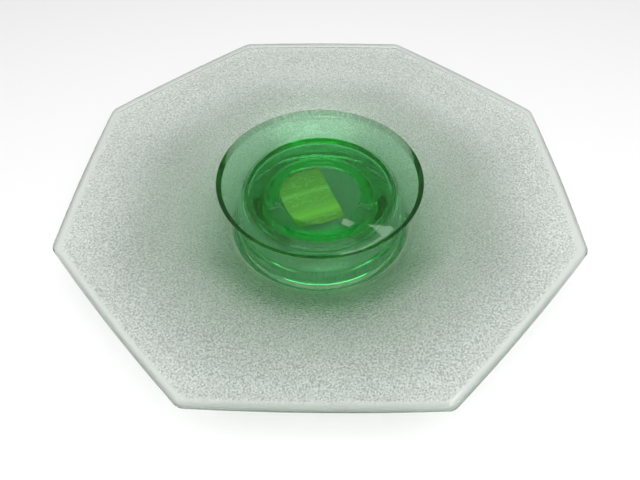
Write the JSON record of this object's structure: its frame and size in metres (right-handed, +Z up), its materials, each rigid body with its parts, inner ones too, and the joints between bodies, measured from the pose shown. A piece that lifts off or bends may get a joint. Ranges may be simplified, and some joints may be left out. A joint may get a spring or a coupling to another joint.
{
  "type": "chip and dip server",
  "caption": "Octagonal dished glass serving plate with a low footed dip bowl that stands loose in the round seat at its centre.",
  "frame": {"origin": "centre of the plate's foot ring, on the table", "axes": "+Z up along the plate's and the bowl's common axis; +X and +Y through the middles of two of the plate's flats"},
  "size_m": [0.2842, 0.2842, 0.051],
  "materials": {
    "plate_glass": "pale green, fine stippled surface with a smooth rim band",
    "bowl_glass": "clear saturated green, fire polished",
    "label_paper": "blank yellow paper, slightly wrinkled"
  },
  "bodies": {
    "plate": {"plate": "plate_glass"},
    "dip_bowl": {"dip_bowl": "bowl_glass", "paper_label": "label_paper"}
  },
  "joints": [
    {"name": "bowl_lift", "type": "slide", "parent": "plate", "child": "dip_bowl", "axis": [0, 0, 1], "range_m": [0, 0.1]}
  ]
}
